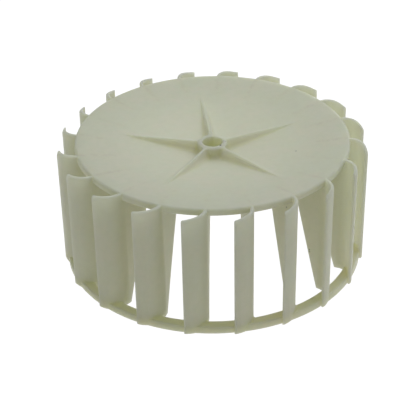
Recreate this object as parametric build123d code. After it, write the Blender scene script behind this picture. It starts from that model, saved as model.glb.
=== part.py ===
from build123d import *
import math
import os

# Dryer blower wheel: one plastic moulding, in millimetres.
# +Z runs along the shaft towards the disc side. The origin is on the wheel's axis, level with the
# bottom of the ring, so the wheel stands on its ring with the disc on top.

# Back disc: a shallow dish, lowest at the hub, with a rounded rim that turns down
wheel_height = 82.7          # bottom of the ring to the sharp edge that the rim's rounding takes off
rim_inset = 10.2             # rim inside the blades' tips
disc_wall = 2.4
dish_slope = 0.142           # rise of the dish for each millimetre outwards
rim_wall = 3.0
rim_drop = 1.7               # rim's foot below the disc's lower face
rim_round = 1.6
rim_foot_round = 0.8

# Hub
bore_diameter = 12.8         # slides on a 12.7 mm motor shaft
bore_chamfer = 0.4
hub_wall = 3.1
hub_stand = 7.1              # hub's top above the dish beside it
hub_length = 30.0
hub_edge_round = 0.7
hub_foot_round = 1.5

# Ribs on the dish, level from the hub until the rising dish swallows them
rib_count = 5
rib_phase = 24.5             # degrees from +X to the first rib
rib_top_width = 1.6
rib_top_round = 0.5
rib_draft = 5.0              # degrees on each flank
rib_drop = 0.2               # rib's top below the hub's top

# Blades: a tip arc and a hook arc, then a long leg that runs in under the disc
blade_count = 20
blade_phase = 7.6            # degrees from +X to the first tip
blade_wall = 2.3
tip_radius = 97.2            # to the middle of the blade's wall
tip_heading = 99.4           # degrees from the outward radius, following the blade inwards
tip_arc_radius = 18.5
tip_arc_angle = 16.2
hook_radius = 10.6
hook_angle = 72.6
leg_radius = 260.0           # the leg bows back the other way
blade_reach = 35.5           # the slanting inner edge at the disc, inside the tips
foot_reach = 7.0             # and at the foot, inside the ring
foot_rise = 1.5              # the foot inside the ring stops short of the ring's bottom
tip_fall = 1.6               # top edge at the tip, below the rim
tip_corner = 5.5

# Ring that joins the feet
ring_inset = 1.85            # ring's outer face inside the blades' outer faces
ring_width = 6.3
ring_height = 5.3
ring_round = 0.8

# Overlaps and clearances that keep the joined bodies sound
overrun = 5.0                # cuts run this far past a face
crown_sink = 0.1             # blade tops start this far below the dish's face
nose_clearance = 0.15        # the band's corner ends this far outside the tips
seam_share = 0.22            # the turned faces start in the gap behind a tip

bore_radius = bore_diameter / 2
hub_radius = bore_radius + hub_wall
hub_middle = bore_radius + hub_wall / 2
disc_radius = tip_radius - rim_inset
rim_lip = disc_radius - rim_wall
tip_edge = tip_radius + blade_wall / 2
ring_outer_radius = tip_edge - ring_inset
ring_inner_radius = ring_outer_radius - ring_width
blade_inner_top = tip_radius - blade_reach
blade_inner_foot = ring_inner_radius - foot_reach
blade_pitch = 360 / blade_count
seam_angle = blade_phase - seam_share * blade_pitch


def dish_top(radius):
    """Height of the dish's upper face at a radius."""
    return wheel_height - (disc_radius - radius) * dish_slope


def dish_middle(radius):
    """Height halfway through the dish's wall."""
    return dish_top(radius) - disc_wall / 2


def dish_under(radius):
    """Height of the dish's lower face at a radius."""
    return dish_top(radius) - disc_wall


hub_top = dish_top(hub_radius) + hub_stand
hub_bottom = hub_top - hub_length


def section(*corners):
    """A flat outline from (radius, height) corners."""
    return make_face(Polyline(*corners, close=True))


def rounded(face, radius, *corners):
    """The outline with its corners nearest to the given places rounded."""
    picked = [face.vertices().sort_by_distance(corner)[0] for corner in corners]
    return fillet(picked, radius)


def turned(face):
    """The solid that a (radius, height) outline sweeps round the axis."""
    return Rot(0, 0, seam_angle) * revolve(Plane.XZ * face, Axis.Z)


def around(shape, count):
    """Copies of a shape spaced evenly round the axis."""
    return [Rot(0, 0, i * 360 / count) * shape for i in range(count)]


def back():
    """The dish with its rounded, turned-down rim and the hub that stands out of both its faces."""
    mouth = bore_radius + bore_chamfer
    rim_bottom = dish_under(rim_lip) - rim_drop
    face = section(
        (bore_radius, hub_top - bore_chamfer),
        (mouth, hub_top),
        (hub_radius, hub_top),
        (hub_radius, dish_top(hub_radius)),
        (disc_radius, wheel_height),
        (disc_radius, rim_bottom),
        (rim_lip, rim_bottom),
        (rim_lip, dish_under(rim_lip)),
        (hub_radius, dish_under(hub_radius)),
        (hub_radius, hub_bottom),
        (mouth, hub_bottom),
        (bore_radius, hub_bottom + bore_chamfer),
    )
    face = rounded(face, hub_edge_round, (hub_radius, hub_top), (hub_radius, hub_bottom))
    hub_feet = (hub_radius, dish_top(hub_radius)), (hub_radius, dish_under(hub_radius))
    face = rounded(face, hub_foot_round, *hub_feet)
    face = rounded(face, rim_round, (disc_radius, wheel_height))
    face = rounded(face, rim_foot_round, (disc_radius, rim_bottom), (rim_lip, rim_bottom))
    return turned(face)


def rib():
    """The first rib, with drafted flanks, cut off inside the dish's wall."""
    top = hub_top - rib_drop
    depth = hub_stand + disc_wall
    half_top = rib_top_width / 2
    half_foot = half_top + depth * math.tan(math.radians(rib_draft))
    face = section((-half_top, top), (half_top, top), (half_foot, top - depth), (-half_foot, top - depth))
    face = rounded(face, rib_top_round, (-half_top, top), (half_top, top))
    bar = extrude(Plane.YZ.offset(hub_middle) * face, rim_lip - hub_middle)
    under = section(
        (bore_radius, dish_middle(bore_radius)),
        (disc_radius, dish_middle(disc_radius)),
        (disc_radius, hub_bottom),
        (bore_radius, hub_bottom),
    )
    return Rot(0, 0, rib_phase) * bar - turned(under)


def blade_plan():
    """Plan of one blade's wall at the disc, its tip on +X."""
    heading = math.radians(tip_heading)
    tip = JernArc((tip_radius, 0), (math.cos(heading), math.sin(heading)), tip_arc_radius, tip_arc_angle)
    hook = JernArc(tip @ 1, tip % 1, hook_radius, hook_angle)
    leg = JernArc(hook @ 1, hook % 1, leg_radius, -math.degrees(blade_reach / leg_radius))
    return make_face(Wire([tip.edge(), hook.edge(), leg.edge()]).offset_2d(blade_wall / 2))


def blade_band():
    """The turned space that the blades fill: crown, rounded corner, foot and slanting inner edge."""
    nose = tip_edge + nose_clearance
    tip_top = wheel_height - tip_fall
    corner_bottom = tip_top - tip_corner - overrun
    foot_step = (ring_inner_radius + ring_outer_radius) / 2
    start = (rim_lip, dish_top(rim_lip) - crown_sink)
    crown = TangentArc(start, (nose, tip_top), tangent=(1, dish_slope))
    rest = Polyline(
        (nose, tip_top),
        (nose, corner_bottom),
        (nose + overrun, corner_bottom),
        (nose + overrun, 0),
        (foot_step, 0),
        (foot_step, foot_rise),
        (blade_inner_foot, foot_rise),
        (blade_inner_top, dish_middle(blade_inner_top)),
        (rim_lip, dish_middle(rim_lip)),
        start,
    )
    return turned(rounded(make_face(crown + rest), tip_corner, (nose, tip_top)))


def blade():
    """The first blade, trimmed to the band."""
    return Rot(0, 0, blade_phase) * extrude(blade_plan(), wheel_height) & blade_band()


def ring():
    """The ring that joins the blades' feet."""
    corners = [(r, z) for r in (ring_inner_radius, ring_outer_radius) for z in (0, ring_height)]
    face = section(corners[0], corners[1], corners[3], corners[2])
    return turned(rounded(face, ring_round, *corners))


wheel = back() + around(rib(), rib_count) + around(blade(), blade_count) + ring()

os.makedirs("parts", exist_ok=True)
export_step(wheel, "parts/blower_wheel.step")
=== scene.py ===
import math
import bpy
from mathutils import Matrix, Vector


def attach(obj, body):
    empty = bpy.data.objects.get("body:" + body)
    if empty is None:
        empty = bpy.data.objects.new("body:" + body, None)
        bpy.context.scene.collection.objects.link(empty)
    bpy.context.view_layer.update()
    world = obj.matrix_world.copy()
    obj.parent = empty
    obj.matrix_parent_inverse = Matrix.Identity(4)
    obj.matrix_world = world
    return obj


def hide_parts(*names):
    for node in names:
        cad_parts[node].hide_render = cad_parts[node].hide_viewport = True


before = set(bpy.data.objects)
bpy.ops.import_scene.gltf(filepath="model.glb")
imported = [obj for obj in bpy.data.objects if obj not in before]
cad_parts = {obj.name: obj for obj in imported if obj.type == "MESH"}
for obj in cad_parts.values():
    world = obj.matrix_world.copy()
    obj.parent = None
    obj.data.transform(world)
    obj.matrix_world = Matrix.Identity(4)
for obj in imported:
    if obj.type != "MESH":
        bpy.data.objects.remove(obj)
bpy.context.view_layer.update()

# Dryer blower wheel in uncoloured plastic, dressed for its portrait. Lengths are in metres.
# +Z runs up the shaft, and z = 0 is the bottom of the ring that the wheel stands on.
mm = 0.001

# Back disc and rim
wheel_height = 82.7 * mm
rim_inset = 10.2 * mm
disc_wall = 2.4 * mm
dish_slope = 0.142
rim_wall = 3.0 * mm
rim_drop = 1.7 * mm
rim_round = 1.6 * mm
rim_foot_round = 0.8 * mm

# Hub and bore
bore_radius = 6.4 * mm
bore_chamfer = 0.4 * mm
hub_wall = 3.1 * mm
hub_stand = 7.1 * mm
hub_length = 30.0 * mm
hub_edge_round = 1.4 * mm
hub_foot_round = 3.0 * mm

# Ribs on the dish
rib_count = 5
rib_phase = math.radians(24.5)
rib_top_width = 2.0 * mm
rib_top_round = 0.95 * mm
rib_foot_round = 3.8 * mm
rib_hub_round = 2.8 * mm
rib_run_out = 4.5 * mm
rib_draft = math.radians(5.0)
rib_drop = 0.2 * mm

# Blades
blade_count = 20
blade_phase = math.radians(7.6)
blade_wall = 2.3 * mm
tip_radius = 97.2 * mm
tip_heading = math.radians(99.4)
tip_arc_radius = 18.5 * mm
tip_arc_angle = math.radians(16.2)
hook_radius = 10.6 * mm
hook_angle = math.radians(72.6)
leg_radius = 260.0 * mm
blade_reach = 35.5 * mm
foot_reach = 7.0 * mm
foot_rise = 1.5 * mm
tip_fall = 1.6 * mm
tip_corner = 5.5 * mm
nose_clearance = 0.15 * mm
crown_sink = 0.1 * mm
leg_length = 27.6 * mm
blade_edge_round = 1.05 * mm
root_round = 1.5 * mm
root_length = 25.0 * mm
root_fade = (1.5 * mm, 5.0 * mm)
foot_round = 1.6 * mm
foot_fade = (0.3 * mm, 2.5 * mm)

# Ring
ring_inset = 1.85 * mm
ring_width = 6.3 * mm
ring_height = 5.3 * mm
ring_round = 0.8 * mm

# How far a joined form is sunk, how near to a face a fillet ends, and how close points are welded
sink = 0.4 * mm
skin = 0.02 * mm
weld = 0.001 * mm

hub_radius = bore_radius + hub_wall
disc_radius = tip_radius - rim_inset
rim_lip = disc_radius - rim_wall
tip_edge = tip_radius + blade_wall / 2
ring_outer = tip_edge - ring_inset
ring_inner = ring_outer - ring_width
inner_top = tip_radius - blade_reach
inner_foot = ring_inner - foot_reach
pitch = math.tau / blade_count


def dish_top(radius):
    """Height of the dish's upper face at a radius, for numbers and for fields."""
    return wheel_height - (disc_radius - radius) * dish_slope


def dish_under(radius):
    """Height of the dish's lower face at a radius."""
    return dish_top(radius) - disc_wall


hub_top = dish_top(hub_radius) + hub_stand
hub_bottom = hub_top - hub_length


# Colours of the plastic, with a paler tint that is painted light on the ribs and a darker tint that is
# painted shade along the sink lines
greenish = (0.74, 0.755, 0.56, 1)
pinkish = (0.775, 0.745, 0.565, 1)
darker = (0.70, 0.705, 0.51, 1)
# Painted shade: a darker, pinker tint along the sink lines
sink_painted_shade = (0.66, 0.58, 0.47, 1)
# Painted light: a paler tint that lifts the shade on the ribs' flanks
rib_painted_light = (0.765, 0.735, 0.615, 1)
soot = (0.06, 0.055, 0.04, 1)
bright = (0.93, 0.93, 0.86, 1)

# How much each tint covers, from 0 to 1; the rib tint is painted light and the sink tint is painted shade
mottle_strength = 0.35
rib_painted_light_strength = 0.85
sink_painted_shade_strength = 0.42
dirt_cover = 0.8

# Sink lines, relief, gloss, and how far light wanders under the surface
mark_width = 2.4 * mm
grain_depth = 0.006 * mm
ripple_depth = 0.12 * mm
sink_depth = 0.10 * mm
satin = 0.42
light_depth = 16.0 * mm

# Small marks as (place in mm, size in mm, strength)
dark_specks = [
    ((5.0, -5.0, 78.8), 0.9, 1.0),
    ((7.0, 0.5, 78.8), 0.9, 0.3),
    ((8.3, 0.0, 78.8), 0.9, 0.25),
    ((9.6, 3.1, 75.5), 0.9, 0.35),
    ((10.1, 3.1, 74.3), 0.9, 0.3),
    ((52.2, -12.4, 78.0), 0.8, 0.45),
    ((43.2, -68.8, 72.1), 0.8, 0.5),
    ((59.3, -49.6, 28.6), 0.8, 0.5),
    ((59.4, -49.7, 27.2), 0.8, 0.5),
]
pale_chips = [((3.6, -6.1, 78.8), 0.8, 1.0), ((6.0, -3.4, 78.8), 0.8, 0.9)]


# Node trees: numbers with plain arithmetic, and short names for what is used often


def feed(tree, socket, thing):
    """Puts a Value, a socket or a plain number into a node's input."""
    if isinstance(thing, Value):
        thing = thing.socket
    if isinstance(thing, bpy.types.NodeSocket):
        tree.links.new(thing, socket)
    else:
        socket.default_value = thing


def node(tree, kind, *inputs, **settings):
    """Adds a node, sets its options, and feeds its first inputs in order, or by name through `at`."""
    by_name = settings.pop("at", {})
    made = tree.nodes.new(kind)
    for key, value in settings.items():
        setattr(made, key, value)
    for socket, thing in zip(made.inputs, inputs):
        if thing is not None:
            feed(tree, socket, thing)
    for name, thing in by_name.items():
        feed(tree, made.inputs[name], thing)
    return made


class Value:
    """A number or field inside a node tree."""

    def __init__(self, tree, socket):
        self.tree, self.socket = tree, socket

    def math(self, operation, *others):
        """This value put through a Math node with the others."""
        made = node(self.tree, "ShaderNodeMath", self, *others, operation=operation)
        return Value(self.tree, made.outputs[0])

    def __add__(self, other):
        return self.math("ADD", other)

    def __mul__(self, other):
        return self.math("MULTIPLY", other)

    def __sub__(self, other):
        return self.math("SUBTRACT", other)

    def __truediv__(self, other):
        return self.math("DIVIDE", other)

    def __rsub__(self, other):
        return (self * -1.0) + other

    __radd__ = __add__
    __rmul__ = __mul__

    def over(self, other):
        """1 where this value is above the other, and 0 elsewhere."""
        return self.math("GREATER_THAN", other)

    def ramp(self, start, end):
        """Rises smoothly from 0 at start to 1 at end, which may lie below start."""
        t = ((self - start) / (end - start)).math("MINIMUM", 1.0).math("MAXIMUM", 0.0)
        return t * t * (3.0 - 2.0 * t)


def choose(test, yes, no):
    """yes where test is 1, and no where it is 0."""
    return test * (yes - no) + no


def distance(x, y):
    """Length of the vector (x, y)."""
    return (x * x + y * y).math("SQRT")


def grown_tree(name, sizes):
    """A Geometry Nodes tree with a named input for each size, and the sizes as Values."""
    tree = bpy.data.node_groups.new(name, "GeometryNodeTree")
    tree.is_modifier = True
    face = tree.interface
    face.new_socket("Geometry", in_out="INPUT", socket_type="NodeSocketGeometry")
    for size, value in sizes.items():
        kind = "NodeSocketInt" if isinstance(value, int) else "NodeSocketFloat"
        face.new_socket(size, in_out="INPUT", socket_type=kind)
    face.new_socket("Geometry", in_out="OUTPUT", socket_type="NodeSocketGeometry")
    start = node(tree, "NodeGroupInput")
    return tree, start.outputs["Geometry"], {size: Value(tree, start.outputs[size]) for size in sizes}


def grow(tree, geometry, outline, sizes):
    """Runs a tree on an outline curve and keeps the plain mesh that comes out."""
    feed(tree, node(tree, "NodeGroupOutput").inputs[0], geometry)
    modifier = outline.modifiers.new(tree.name, "NODES")
    modifier.node_group = tree
    for item in tree.interface.items_tree:
        if item.in_out == "INPUT" and item.name in sizes:
            modifier[item.identifier] = sizes[item.name]
    depsgraph = bpy.context.evaluated_depsgraph_get()
    mesh = bpy.data.meshes.new_from_object(outline.evaluated_get(depsgraph))
    bpy.data.objects.remove(outline)
    made = bpy.data.objects.new(tree.name, mesh)
    bpy.context.scene.collection.objects.link(made)
    return made


def outline_curve(name, corners):
    """A closed outline from (across, up, rounding) corners. A corner's rounding is kept as its radius."""
    data = bpy.data.curves.new(name, "CURVE")
    data.dimensions = "3D"
    spline = data.splines.new("POLY")
    spline.points.add(len(corners) - 1)
    for point, (across, up, rounding) in zip(spline.points, corners):
        point.co = (across, up, 0, 1)
        point.radius = rounding
    spline.use_cyclic_u = True
    made = bpy.data.objects.new(name, data)
    bpy.context.scene.collection.objects.link(made)
    return made


def swept(tree, outline, path, steps, caps):
    """Sweeps an outline along a path.

    Gives the mesh, the place along the path from 0 to 1, and the outline's across and up.
    """
    rounding = node(tree, "GeometryNodeInputRadius").outputs[0]
    rounded = node(tree, "GeometryNodeFilletCurve", outline, steps, rounding, True, mode="POLY")
    place = node(tree, "GeometryNodeInputPosition").outputs[0]
    flat = node(tree, "GeometryNodeCaptureAttribute", rounded.outputs[0])
    flat.capture_items.new("VECTOR", "place")
    feed(tree, flat.inputs["place"], place)
    order = node(tree, "GeometryNodeSplineParameter").outputs["Factor"]
    line = node(tree, "GeometryNodeCaptureAttribute", path)
    line.capture_items.new("FLOAT", "order")
    feed(tree, line.inputs["order"], order)
    mesh = node(tree, "GeometryNodeCurveToMesh", line.outputs[0], flat.outputs[0], at={"Fill Caps": caps})
    split = node(tree, "ShaderNodeSeparateXYZ", flat.outputs["place"])
    return (
        mesh.outputs[0],
        Value(tree, line.outputs["order"]),
        Value(tree, split.outputs[0]),
        Value(tree, split.outputs[1]),
    )


def placed(tree, mesh, x, y, z):
    """The mesh with its points moved to (x, y, z)."""
    spot = node(tree, "ShaderNodeCombineXYZ", x, y, z).outputs[0]
    return node(tree, "GeometryNodeSetPosition", mesh, True, spot).outputs[0]


def around(tree, mesh, count, phase):
    """Copies of a mesh spaced evenly round the axis, made real."""
    points = node(tree, "GeometryNodePoints", count).outputs[0]
    index = Value(tree, node(tree, "GeometryNodeInputIndex").outputs[0])
    turn = node(tree, "ShaderNodeCombineXYZ", 0.0, 0.0, index * math.tau / count + phase).outputs[0]
    copies = node(tree, "GeometryNodeInstanceOnPoints", points, None, mesh, at={"Rotation": turn})
    return node(tree, "GeometryNodeRealizeInstances", copies.outputs[0]).outputs[0]


def turned(name, corners, segments, steps):
    """A closed body of revolution from its outline, where across is the radius."""
    sizes = {"Segments": segments, "Rounding Steps": steps}
    tree, outline, size = grown_tree(name, sizes)
    circle = node(tree, "GeometryNodeCurvePrimitiveCircle", size["Segments"], at={"Radius": 1.0})
    mesh, order, radius, height = swept(tree, outline, circle.outputs[0], size["Rounding Steps"], False)
    angle = order * math.tau
    mesh = placed(tree, mesh, radius * angle.math("COSINE"), radius * angle.math("SINE"), height)
    return grow(tree, mesh, outline_curve(name, corners), sizes)


def back_corners():
    """Outline of the bore, the hub, the dish and the rim, with points along the dish's long faces."""
    mouth = bore_radius + bore_chamfer
    rim_bottom = dish_under(rim_lip) - rim_drop
    steps = 8
    spread = [hub_radius + (rim_lip - hub_radius) * i / steps for i in range(1, steps)]
    return [
        (bore_radius, hub_bottom + bore_chamfer, 0),
        (bore_radius, hub_top - bore_chamfer, 0),
        (mouth, hub_top, 0),
        (hub_radius, hub_top, hub_edge_round),
        (hub_radius, dish_top(hub_radius), hub_foot_round),
        *[(r, dish_top(r), 0) for r in spread],
        (disc_radius, wheel_height, rim_round),
        (disc_radius, rim_bottom, rim_foot_round),
        (rim_lip, rim_bottom, rim_foot_round),
        (rim_lip, dish_under(rim_lip), 0),
        *[(r, dish_under(r), 0) for r in reversed(spread)],
        (hub_radius, dish_under(hub_radius), hub_foot_round),
        (hub_radius, hub_bottom, hub_edge_round),
        (mouth, hub_bottom, 0),
    ]


def ring_corners():
    """Outline of the ring that joins the blades' feet."""
    return [
        (ring_inner, 0, ring_round),
        (ring_inner, ring_height, ring_round),
        (ring_outer, ring_height, ring_round),
        (ring_outer, 0, ring_round),
    ]


def ribs():
    """The drafted ribs: level on top, with fillets that shrink as the rising dish swallows them.

    They flare out to meet the hub, and their stations crowd together there.
    """
    high = 8.0 * mm
    half = rib_top_width / 2
    foot = half + rib_foot_round + sink
    sizes = {"Rib Count": rib_count, "First Rib": rib_phase, "Draft": rib_draft, "Stations": 70}
    tree, outline, size = grown_tree("ribs", sizes)
    start = bore_radius + hub_wall / 2
    level = hub_top - rib_drop
    crossing = disc_radius - (wheel_height - level) / dish_slope
    end = crossing + rib_run_out
    line = node(tree, "GeometryNodeCurvePrimitiveLine").outputs[0]
    line = node(tree, "GeometryNodeResampleCurve", line, at={"Count": size["Stations"]}).outputs[0]
    mesh, order, across, up = swept(tree, outline, line, 5, True)
    side = across.math("SIGN")
    crowding = 0.8
    x = order * (order * crowding + (1 - crowding)) * (end - skin - start) + start
    middle = math.sqrt((hub_radius + rib_hub_round) ** 2 - (half + rib_hub_round) ** 2)
    reach = middle * rib_hub_round / (hub_radius + rib_hub_round)
    near_hub = (x * -1 + middle).math("MAXIMUM", 0.0).math("MINIMUM", reach)
    flare = (near_hub * near_hub * -1 + rib_hub_round**2).math("SQRT") * -1 + rib_hub_round
    to_end = end - x
    run_out = to_end * to_end * (dish_slope / (4 * rib_run_out))
    rise = choose(to_end.over(2 * rib_run_out), level - dish_top(x), run_out)
    shrink = (rise / (rib_top_round + rib_foot_round)).math("MINIMUM", 1.0)
    spread = side * rise * size["Draft"].math("TANGENT") + side * half + (across - side * half) * shrink
    on_top = up.over(high / 2)
    y = choose(on_top, across, spread) + side * flare
    floor = dish_top(distance(x, y))
    top_z = dish_top(x) + rise - (high - up) * shrink
    foot_z = floor + choose(up.over(0.0), up * shrink, up)
    mesh = placed(tree, mesh, x, y, choose(on_top, top_z, foot_z))
    mesh = around(tree, mesh, size["Rib Count"], size["First Rib"])
    corners = [
        (half, high, rib_top_round),
        (-half, high, rib_top_round),
        (-half, -skin, rib_foot_round),
        (-foot, -skin, 0),
        (-foot, -disc_wall / 2, 0),
        (foot, -disc_wall / 2, 0),
        (foot, -skin, 0),
        (half, -skin, rib_foot_round),
    ]
    return grow(tree, mesh, outline_curve("ribs", corners), sizes)


def blade_line(tree, size, along):
    """Middle line of a blade's wall at a length from the tip: x, y and the heading there."""
    tip_length = tip_arc_radius * tip_arc_angle
    hook_length = hook_radius * hook_angle
    first = along.math("MINIMUM", tip_length)
    second = (along - tip_length).math("MAXIMUM", 0.0).math("MINIMUM", hook_length)
    third = (along - (tip_length + hook_length)).math("MAXIMUM", 0.0)
    x, y = size["Tip Radius"], 0.0
    heading = size["Tip Heading"]
    for length, radius in ((first, tip_arc_radius), (second, hook_radius), (third, -leg_radius)):
        turned_to = heading + length / radius
        x = x + (turned_to.math("SINE") - heading.math("SINE")) * radius
        y = (heading.math("COSINE") - turned_to.math("COSINE")) * radius + y
        heading = turned_to
    return x, y, heading


def crown(radius):
    """Height of the blades' top edge outside the rim: a long arc, then the rounded tip corner."""
    nose = tip_edge + nose_clearance
    rise, run = dish_top(rim_lip) - crown_sink, nose - rim_lip
    fall = rise - (wheel_height - tip_fall)
    lean = math.atan(dish_slope)
    bend = math.hypot(run, fall) / (2 * math.sin(lean + math.atan2(fall, run)))
    middle = rim_lip + bend * math.sin(lean)
    level = rise - bend * math.cos(lean)
    corner_middle = nose - tip_corner
    corner_level = level + math.sqrt((bend - tip_corner) ** 2 - (corner_middle - middle) ** 2)
    join = middle + (corner_middle - middle) * bend / (bend - tip_corner)
    long_arc = (bend ** 2 - (radius - middle) * (radius - middle)).math("SQRT") + level
    square = (tip_corner ** 2 - (radius - corner_middle) * (radius - corner_middle)).math("MAXIMUM", 0.0)
    corner = square.math("SQRT") + corner_level
    return choose(radius.over(join), corner, long_arc)


def blades():
    """The hooked blades with rounded edges, trimmed by height rules that follow the radius."""
    half = blade_wall / 2
    cap = half
    sizes = {
        "Blade Count": blade_count,
        "First Tip": blade_phase,
        "Tip Radius": tip_radius,
        "Tip Heading": tip_heading,
        "Length": tip_arc_radius * tip_arc_angle + hook_radius * hook_angle + leg_length,
        "Stations": 72,
    }
    tree, outline, size = grown_tree("blades", sizes)
    line = node(tree, "GeometryNodeCurvePrimitiveLine").outputs[0]
    line = node(tree, "GeometryNodeResampleCurve", line, at={"Count": size["Stations"]}).outputs[0]
    mesh, order, across, up = swept(tree, outline, line, 4, False)
    whole = size["Length"] + cap
    crowding = 0.86
    along = whole * (order - (order * math.tau).math("SINE") * (crowding / math.tau)) - cap
    x, y, heading = blade_line(tree, size, along)
    thin = 1.0
    for gap in (along + cap, size["Length"] - along):
        inward = 1.0 - (gap / cap).math("MINIMUM", 1.0).math("MAXIMUM", 0.0)
        thin = (1.0 - inward * inward).math("MAXIMUM", 0.0).math("SQRT") * thin
    offset = across * thin
    x = x - heading.math("SINE") * offset
    y = y + heading.math("COSINE") * offset
    radius = distance(x, y)
    top = choose(radius.over(rim_lip), crown(radius), dish_top(radius) - sink)
    slope = (dish_under(inner_top) + disc_wall / 2 - foot_rise) / (inner_foot - inner_top)
    slant = (inner_foot - radius) * slope
    low = slant.math("MAXIMUM", 0.0) + foot_rise
    low = low.math("MINIMUM", dish_under(radius) + sink)
    low = low * (1.0 - radius.over((ring_inner + ring_outer) / 2))
    z = choose(up.over(0.0), top - wheel_height / 2 + up, low + wheel_height / 2 + up)
    mesh = placed(tree, mesh, x, y, z)
    mesh = node(tree, "GeometryNodeMergeByDistance", mesh, at={"Distance": weld}).outputs[0]
    mesh = around(tree, mesh, size["Blade Count"], size["First Tip"])
    edge = blade_edge_round
    corners = [(a, b, edge) for a, b in ((-half, -1), (half, -1), (half, 1), (-half, 1))]
    corners = [(a, b * wheel_height / 2, e) for a, b, e in corners]
    return grow(tree, mesh, outline_curve("blades", corners), sizes)


def blade_fillets(name, start, end, rounding, buried, facing, face, room_at):
    """Fillets on both sides of the blades' walls along a face: facing is 1 on its top and -1 below it.

    The fillet is full where room_at gives 1 for a length and a radius, and fades inside the wall at 0.
    """
    half = blade_wall / 2 - skin
    wide = half + rounding + sink
    sizes = {
        "Blade Count": blade_count,
        "First Tip": blade_phase,
        "Tip Radius": tip_radius,
        "Tip Heading": tip_heading,
        "Start": start,
        "End": end,
        "Stations": 32,
    }
    tree, outline, size = grown_tree(name, sizes)
    line = node(tree, "GeometryNodeCurvePrimitiveLine").outputs[0]
    line = node(tree, "GeometryNodeResampleCurve", line, at={"Count": size["Stations"]}).outputs[0]
    mesh, order, across, up = swept(tree, outline, line, 5, True)
    along = order * (size["End"] - size["Start"]) + size["Start"]
    x, y, heading = blade_line(tree, size, along)
    to_x, to_y = heading.math("SINE") * -1.0, heading.math("COSINE")
    radius = distance(x + to_x * across, y + to_y * across)
    least_room = 0.02
    room = room_at(along, radius).math("MAXIMUM", least_room)
    side = across.math("SIGN")
    shift = side * half + (across - side * half) * room
    x, y = x + to_x * shift, y + to_y * shift
    off_face = up * facing
    height = choose(off_face.over(0.0), up * room, up) + face(distance(x, y))
    mesh = around(tree, placed(tree, mesh, x, y, height), size["Blade Count"], size["First Tip"])
    corners = [
        (half, rounding + sink, 0),
        (-half, rounding + sink, 0),
        (-half, -skin, rounding),
        (-wide, -skin, 0),
        (-wide, -buried, 0),
        (wide, -buried, 0),
        (wide, -skin, 0),
        (half, -skin, rounding),
    ]
    corners = [(x * facing, z * facing, bend) for x, z, bend in corners]
    return grow(tree, mesh, outline_curve(name, corners), sizes)


def roots():
    """Fillets between the blades' legs and the disc's lower face."""
    start = tip_arc_radius * tip_arc_angle + hook_radius * hook_angle
    end = start + root_length

    def room_at(along, radius):
        return radius.ramp(*[inner_top + fade for fade in root_fade])

    return blade_fillets("roots", start, end, root_round, disc_wall / 2, -1, dish_under, room_at)


def feet():
    """Fillets between the blades' walls and the ring's top, which fade out at the ring's edges."""
    end = tip_arc_radius * tip_arc_angle + hook_radius * hook_angle

    def ring_top(radius):
        return ring_height

    def room_at(along, radius):
        inside = radius.ramp(ring_inner + skin, ring_inner + foot_round)
        outside = radius.ramp(ring_outer - skin, ring_outer - foot_round)
        return along.ramp(*foot_fade) * inside * outside

    return blade_fillets("feet", 0.0, end, foot_round, ring_height / 3, 1, ring_top, room_at)


def one_moulding(parts, finish):
    """The parts joined into one closed skin, smooth but for its true corners, in one material."""
    sharp_corner = math.radians(38)
    sizes = {"Sharp Corner": sharp_corner}
    tree, _, size = grown_tree("moulding", sizes)
    union = node(tree, "GeometryNodeMeshBoolean", operation="UNION", solver="MANIFOLD")
    for part in parts:
        shape = node(tree, "GeometryNodeObjectInfo", part).outputs["Geometry"]
        feed(tree, union.inputs["Mesh 2"], shape)
    mesh = node(tree, "GeometryNodeSetShadeSmooth", union.outputs[0], True, True, domain="FACE").outputs[0]
    bend = Value(tree, node(tree, "GeometryNodeInputMeshEdgeAngle").outputs[0])
    sharp = bend.over(size["Sharp Corner"])
    mesh = node(tree, "GeometryNodeSetShadeSmooth", mesh, sharp, False, domain="EDGE").outputs[0]
    mesh = node(tree, "GeometryNodeRealizeInstances", mesh).outputs[0]
    mesh = node(tree, "GeometryNodeSetMaterial", mesh, True, finish).outputs[0]
    made = grow(tree, mesh, outline_curve("moulding", [(0, 0, 0), (mm, 0, 0)]), sizes)
    for part in parts:
        bpy.data.objects.remove(part)
    return made


# Finish of the plastic


def leg_marks(x, y, z):
    """1 along the soft sink lines that the blades' legs leave in the disc's upper face, 0 elsewhere. It
    places both their dent and the painted shade along them.
    """
    hook_end = tip_heading + tip_arc_angle + hook_angle
    hook_start = tip_heading + tip_arc_angle
    leg_x = tip_radius + tip_arc_radius * (math.sin(hook_start) - math.sin(tip_heading))
    leg_y = tip_arc_radius * (math.cos(tip_heading) - math.cos(hook_start))
    leg_x += hook_radius * (math.sin(hook_end) - math.sin(hook_start))
    leg_y += hook_radius * (math.cos(hook_start) - math.cos(hook_end))
    middle_x = leg_x + leg_radius * math.sin(hook_end)
    middle_y = leg_y - leg_radius * math.cos(hook_end)
    leg_angle = math.atan2(leg_y, leg_x)
    radius = distance(x, y)
    turn = y.math("ARCTAN2", x) - (blade_phase + leg_angle)
    turn = turn.math("WRAP", pitch / 2, -pitch / 2) + leg_angle
    across = distance(radius * turn.math("COSINE") - middle_x, radius * turn.math("SINE") - middle_y)
    beside = (across - leg_radius).math("ABSOLUTE")
    faint, full = inner_top - 4 * mm, inner_top + 8 * mm
    mark = beside.ramp(mark_width, 0.0) * radius.ramp(faint, full)
    return mark * radius.ramp(disc_radius, rim_lip) * (z - dish_top(radius) + disc_wall / 2).over(0.0)


def speck(x, y, z, place, size):
    """1 within the middle of a small spot at a place, fading to 0 at its edge."""
    middle_share = 0.4
    offsets = [(axis - middle * mm) for axis, middle in zip((x, y, z), place)]
    square = sum((offset * offset for offset in offsets[1:]), offsets[0] * offsets[0])
    return square.math("SQRT").ramp(size, size * middle_share)


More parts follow.
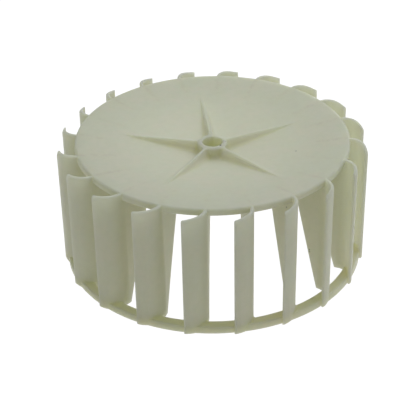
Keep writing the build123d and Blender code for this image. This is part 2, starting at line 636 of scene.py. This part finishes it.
def tinted(tree, amount, under, over):
    """One colour laid over another by an amount."""
    mix = node(tree, "ShaderNodeMix", data_type="RGBA")
    for name, thing in (("Factor", amount), ("A", under), ("B", over)):
        socket = next(i for i in mix.inputs if i.name == name and i.enabled)
        feed(tree, socket, thing)
    return next(o for o in mix.outputs if o.enabled)


def noise(tree, place, waves, detail=2.0, roughness=0.5):
    """Random noise from 0 to 1, with its number of waves to the metre."""
    made = node(tree, "ShaderNodeTexNoise", at={"Vector": place, "Scale": waves})
    made.inputs["Detail"].default_value = detail
    made.inputs["Roughness"].default_value = roughness
    return Value(tree, made.outputs[0])


def uncoloured_plastic():
    """Ivory plastic that lets light through, with faint blotches, sink lines darkened by painted shade,
    ribs lifted by painted light, specks and a satin skin.
    """
    material = bpy.data.materials.new("uncoloured_plastic")
    material.use_nodes = True
    tree = material.node_tree
    shader = tree.nodes["Principled BSDF"]
    place = node(tree, "ShaderNodeTexCoord").outputs["Object"]
    x, y, z = (Value(tree, axis) for axis in node(tree, "ShaderNodeSeparateXYZ", place).outputs)
    wide = noise(tree, place, 30.0, 4.0, 0.6)
    fine = noise(tree, place, 210.0, 3.0, 0.6)
    grain = noise(tree, place, 1500.0)
    ripple = noise(tree, place, 75.0)
    patches = wide.ramp(0.40, 0.62)
    colour = tinted(tree, patches, greenish, pinkish)
    colour = tinted(tree, fine.ramp(0.35, 0.70) * mottle_strength, colour, darker)
    radius = distance(x, y)
    # Painted light over the ribs where they stand above the dish, lifting the shade on their flanks
    rib_painted_light_mask = (z - dish_top(radius)).ramp(0.2 * mm, 1.6 * mm) * radius.ramp(hub_radius, hub_radius + 2 * mm)
    rib_painted_light_mask = rib_painted_light_mask * z.ramp(hub_top - 0.4 * mm, hub_top - 1.6 * mm)
    colour = tinted(tree, rib_painted_light_mask * rib_painted_light_strength, colour, rib_painted_light)
    # The sink lines: a real dent through the bump, and painted shade through a darker tint
    sink_dent_and_painted_shade = leg_marks(x, y, z)
    sink_dent_and_painted_shade = sink_dent_and_painted_shade * fine.ramp(0.30, 0.75) * (patches * 0.6 + 0.4)
    colour = tinted(tree, sink_dent_and_painted_shade * sink_painted_shade_strength, colour, sink_painted_shade)
    dirt = Value(tree, 0.0)
    for spot, size, strength in dark_specks:
        amount = speck(x, y, z, spot, size * mm) * strength
        colour = tinted(tree, amount, colour, soot)
        dirt = amount.math("MAXIMUM", dirt)
    for spot, size, strength in pale_chips:
        colour = tinted(tree, speck(x, y, z, spot, size * mm) * strength, colour, bright)
    tree.links.new(colour, shader.inputs["Base Color"])
    height = grain * grain_depth + ripple * ripple_depth - sink_dent_and_painted_shade * sink_depth
    bump = node(tree, "ShaderNodeBump", at={"Strength": 1.0, "Distance": 1.0, "Height": height})
    tree.links.new(bump.outputs[0], shader.inputs["Normal"])
    feed(tree, shader.inputs["Roughness"], grain * 0.10 + satin)
    feed(tree, shader.inputs["Subsurface Weight"], 1.0 - dirt * dirt_cover)
    shader.inputs["Subsurface Radius"].default_value = (1.0, 1.0, 0.72)
    shader.inputs["Subsurface Scale"].default_value = light_depth
    shader.inputs["IOR"].default_value = 1.49
    return material


# The wheel


plastic = uncoloured_plastic()
segments = 288
parts = [
    turned("back", back_corners(), segments, 6),
    turned("ring", ring_corners(), segments, 5),
    ribs(),
    blades(),
    roots(),
    feet(),
]
wheel = one_moulding(parts, plastic)
wheel.name = "blower_wheel_moulding"
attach(wheel, "root")
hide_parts("blower_wheel")


# Floor, light and camera


def seen_white(tree, plain, strength, glow):
    """Mixes a shader with white, more for what the camera, a reflection or a clear body sees."""
    path = node(tree, "ShaderNodeLightPath")
    seen = Value(tree, path.outputs["Is Camera Ray"]).math("MAXIMUM", path.outputs["Is Glossy Ray"])
    seen = seen.math("MAXIMUM", path.outputs["Is Transmission Ray"])
    level = 1.16
    white = node(tree, "ShaderNodeEmission", (1, 1, 1, 1), level).outputs[0]
    share = seen * (strength - glow) + glow
    return node(tree, "ShaderNodeMixShader", share, plain, white).outputs[0]


def pale_floor():
    """A white floor that keeps a faint shadow of the wheel."""
    reach = 3.0
    mesh = bpy.data.meshes.new("floor")
    corners = [(-reach, -reach, 0), (reach, -reach, 0), (reach, reach, 0), (-reach, reach, 0)]
    mesh.from_pydata(corners, [], [(0, 1, 2, 3)])
    floor = bpy.data.objects.new("floor", mesh)
    bpy.context.scene.collection.objects.link(floor)
    material = bpy.data.materials.new("floor_white")
    material.use_nodes = True
    tree = material.node_tree
    matt = node(tree, "ShaderNodeBsdfDiffuse", (0.86, 0.86, 0.85, 1))
    out = tree.nodes["Material Output"]
    pale = seen_white(tree, matt.outputs[0], strength=0.88, glow=0.30)
    from_below = node(tree, "ShaderNodeNewGeometry").outputs["Backfacing"]
    clear = node(tree, "ShaderNodeBsdfTransparent").outputs[0]
    surface = node(tree, "ShaderNodeMixShader", from_below, pale, clear).outputs[0]
    tree.links.new(surface, out.inputs["Surface"])
    mesh.materials.append(material)


def studio_air():
    """Soft even light from all round, and white where the camera looks past the floor."""
    world = bpy.data.worlds.new("studio")
    world.use_nodes = True
    tree = world.node_tree
    path = node(tree, "ShaderNodeLightPath")
    seen = Value(tree, path.outputs["Is Camera Ray"])
    way = node(tree, "ShaderNodeTexCoord").outputs["Generated"]
    x, y, z = (Value(tree, axis) for axis in node(tree, "ShaderNodeSeparateXYZ", way).outputs)
    towards_light = x * 0.38 + y * 0.55 + z * 0.50
    swing, middle, least = 0.36, 0.19, 0.05
    soft = towards_light * swing + middle
    strength = choose(seen, 1.0, soft.math("MAXIMUM", least))
    tree.links.new(strength.socket, tree.nodes["Background"].inputs["Strength"])
    air = tinted(tree, seen, (0.97, 1.0, 0.93, 1), (1, 1, 1, 1))
    tree.links.new(air, tree.nodes["Background"].inputs["Color"])
    bpy.context.scene.world = world


def softbox(name, place, aim, size, watts):
    """A square area lamp that faces a point."""
    lamp = bpy.data.lights.new(name, "AREA")
    lamp.size = size
    lamp.energy = watts
    lamp.color = (0.87, 0.93, 1.0)
    made = bpy.data.objects.new(name, lamp)
    bpy.context.scene.collection.objects.link(made)
    made.location = place
    made.rotation_euler = (Vector(aim) - Vector(place)).to_track_quat("-Z", "Y").to_euler()


def portrait_camera():
    """The camera where the photograph was taken from: 0.81 m away, looking 31.6 degrees down."""
    elevation = math.radians(31.563)
    pan, tilt, roll = (math.radians(a) for a in (-0.244, -0.714, -0.974))
    far, aim_height = 809.5 * mm, 40.85 * mm
    focal_pixels, picture_pixels, sensor = 1245.4, 416, 36.0
    back = Vector((0, -math.cos(elevation), math.sin(elevation)))
    right = Vector((1, 0, 0))
    up = back.cross(right)
    look = (-back + right * math.tan(pan) + up * math.tan(tilt)).normalized()
    level = look.cross(Vector((0, 0, 1))).normalized()
    upright = level.cross(look)
    right = level * math.cos(roll) + upright * math.sin(roll)
    up = upright * math.cos(roll) - level * math.sin(roll)
    data = bpy.data.cameras.new("portrait")
    data.sensor_width = sensor
    data.lens = sensor * focal_pixels / picture_pixels
    camera = bpy.data.objects.new("portrait", data)
    bpy.context.scene.collection.objects.link(camera)
    turn = Matrix((right, up, -look)).transposed().to_4x4()
    camera.matrix_world = Matrix.Translation(Vector((0, 0, aim_height)) + back * far) @ turn
    bpy.context.scene.camera = camera


pale_floor()
studio_air()
softbox("top_softbox", place=(0.3, 0.5, 1.2), aim=(0, 0, 0.05), size=1.2, watts=6.2)
portrait_camera()
bpy.context.scene.view_settings.view_transform = "Standard"
